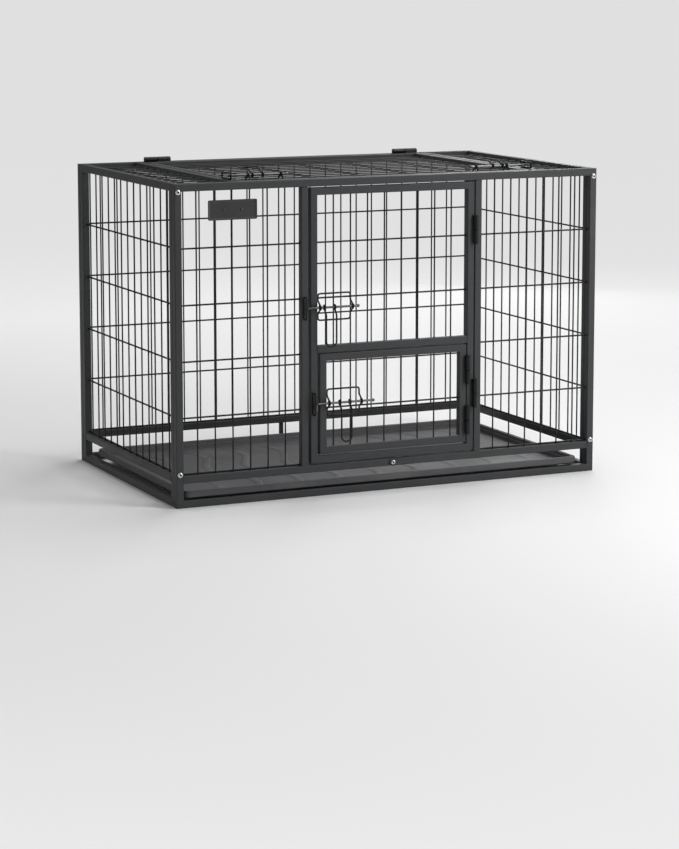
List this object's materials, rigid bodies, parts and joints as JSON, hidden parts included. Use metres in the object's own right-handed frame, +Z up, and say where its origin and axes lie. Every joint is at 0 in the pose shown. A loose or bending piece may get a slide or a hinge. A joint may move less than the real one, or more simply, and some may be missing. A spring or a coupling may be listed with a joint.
{
  "type": "wire dog crate",
  "caption": "Wire dog crate of square steel tube and welded mesh, with a front door holding a smaller door, a roof lid, slide latches and a pull-out plastic tray.",
  "frame": {"origin": "the underside of the middle floor bar, at the centre of the crate's footprint on the floor", "axes": "+Z up, the doors face -Y, +X to the right seen from the front, along the crate's long side"},
  "size_m": [0.924, 0.5798, 0.6457],
  "materials": {
    "frame_coat": "satin charcoal powder coat",
    "mesh_coat": "satin black powder coat",
    "zinc": "bright zinc plate",
    "tray_plastic": "matt, fine moulded grain",
    "plate": "satin"
  },
  "bodies": {
    "cage": {"front_frame": "frame_coat", "back_frame": "frame_coat", "door_posts": "frame_coat", "left_end_frame": "frame_coat", "right_end_frame": "frame_coat", "front_mesh_left": "mesh_coat", "front_mesh_right": "mesh_coat", "back_mesh": "mesh_coat", "left_end_mesh": "mesh_coat", "right_end_mesh": "mesh_coat", "roof_bars": "frame_coat", "roof_mesh_left": "mesh_coat", "roof_mesh_right": "mesh_coat", "floor_bars": "frame_coat", "panel_bolts": "zinc", "panel_nuts": "zinc", "name_plate": "plate", "plate_clip": "frame_coat", "door_hinge_pins": "mesh_coat", "lid_hinge_pins": "mesh_coat", "door_keeper": "mesh_coat", "lid_keepers": "mesh_coat", "front_lock_bolt": "zinc", "back_lock_bolt": "zinc"},
    "lid": {"lid_frame": "frame_coat", "lid_mesh": "mesh_coat", "lid_hinge_knuckles": "mesh_coat", "lid_left_bracket": "mesh_coat", "lid_right_bracket": "mesh_coat"},
    "door": {"door_frame": "frame_coat", "door_mesh": "mesh_coat", "door_hinge_knuckles": "mesh_coat", "door_bracket": "mesh_coat", "small_door_keeper": "mesh_coat", "small_hinge_pins": "mesh_coat"},
    "small_door": {"small_door_frame": "frame_coat", "small_door_mesh": "mesh_coat", "small_hinge_knuckles": "mesh_coat", "small_door_bracket": "mesh_coat"},
    "door_bolt": {"door_bolt": "zinc"},
    "small_door_bolt": {"small_door_bolt": "zinc"},
    "lid_left_bolt": {"lid_left_bolt": "zinc"},
    "lid_right_bolt": {"lid_right_bolt": "zinc"},
    "door_handle": {"door_handle": "mesh_coat"},
    "small_door_handle": {"small_door_handle": "mesh_coat"},
    "lid_left_handle": {"lid_left_handle": "mesh_coat"},
    "lid_right_handle": {"lid_right_handle": "mesh_coat"},
    "tray": {"tray": "tray_plastic"},
    "front_lock": {"front_lock": "frame_coat"},
    "back_lock": {"back_lock": "frame_coat"}
  },
  "joints": [
    {"name": "door_swing", "type": "hinge", "parent": "cage", "child": "door", "pos_m": [0.18225, -0.2833, 0.338], "axis": [0, 0, 1], "range_deg": [0, 160]},
    {"name": "small_door_swing", "type": "hinge", "parent": "door", "child": "small_door", "pos_m": [0.16575, -0.2833, 0.182], "axis": [0, 0, -1], "range_deg": [-160, 0]},
    {"name": "lid_swing", "type": "hinge", "parent": "cage", "child": "lid", "pos_m": [0, 0.26225, 0.6333], "axis": [-1, 0, 0], "range_deg": [0, 110]},
    {"name": "tray_slide", "type": "slide", "parent": "cage", "child": "tray", "axis": [0, -1, 0], "range_m": [0, 0.5]},
    {"name": "door_bolt_slide", "type": "slide", "parent": "door", "child": "door_bolt", "axis": [1, 0, 0], "range_m": [-0.0055, 0.0245]},
    {"name": "small_door_bolt_slide", "type": "slide", "parent": "small_door", "child": "small_door_bolt", "axis": [1, 0, 0], "range_m": [-0.019, 0.0165]},
    {"name": "lid_left_bolt_slide", "type": "slide", "parent": "lid", "child": "lid_left_bolt", "axis": [1, 0, 0], "range_m": [-0.0055, 0.0245]},
    {"name": "lid_right_bolt_slide", "type": "slide", "parent": "lid", "child": "lid_right_bolt", "axis": [-1, 0, 0], "range_m": [-0.0055, 0.0245]},
    {"name": "door_handle_swing", "type": "hinge", "parent": "door_bolt", "child": "door_handle", "pos_m": [-0.14, -0.285, 0.376], "axis": [-1, 0, 0], "range_deg": [0, 150]},
    {"name": "small_door_handle_swing", "type": "hinge", "parent": "small_door_bolt", "child": "small_door_handle", "pos_m": [-0.11, -0.285, 0.1855], "axis": [-1, 0, 0], "range_deg": [0, 150]},
    {"name": "lid_left_handle_swing", "type": "hinge", "parent": "lid_left_bolt", "child": "lid_left_handle", "pos_m": [-0.27, -0.2177, 0.635], "axis": [1, 0, 0], "range_deg": [0, 150]},
    {"name": "lid_right_handle_swing", "type": "hinge", "parent": "lid_right_bolt", "child": "lid_right_handle", "pos_m": [0.27, -0.2177, 0.635], "axis": [1, 0, 0], "range_deg": [0, 150]},
    {"name": "front_lock_turn", "type": "hinge", "parent": "cage", "child": "front_lock", "pos_m": [0, -0.2795, 0.0555], "axis": [0, -1, 0], "range_deg": [-90, 0]},
    {"name": "back_lock_turn", "type": "hinge", "parent": "cage", "child": "back_lock", "pos_m": [0, 0.2795, 0.0555], "axis": [0, 1, 0], "range_deg": [0, 90]}
  ]
}
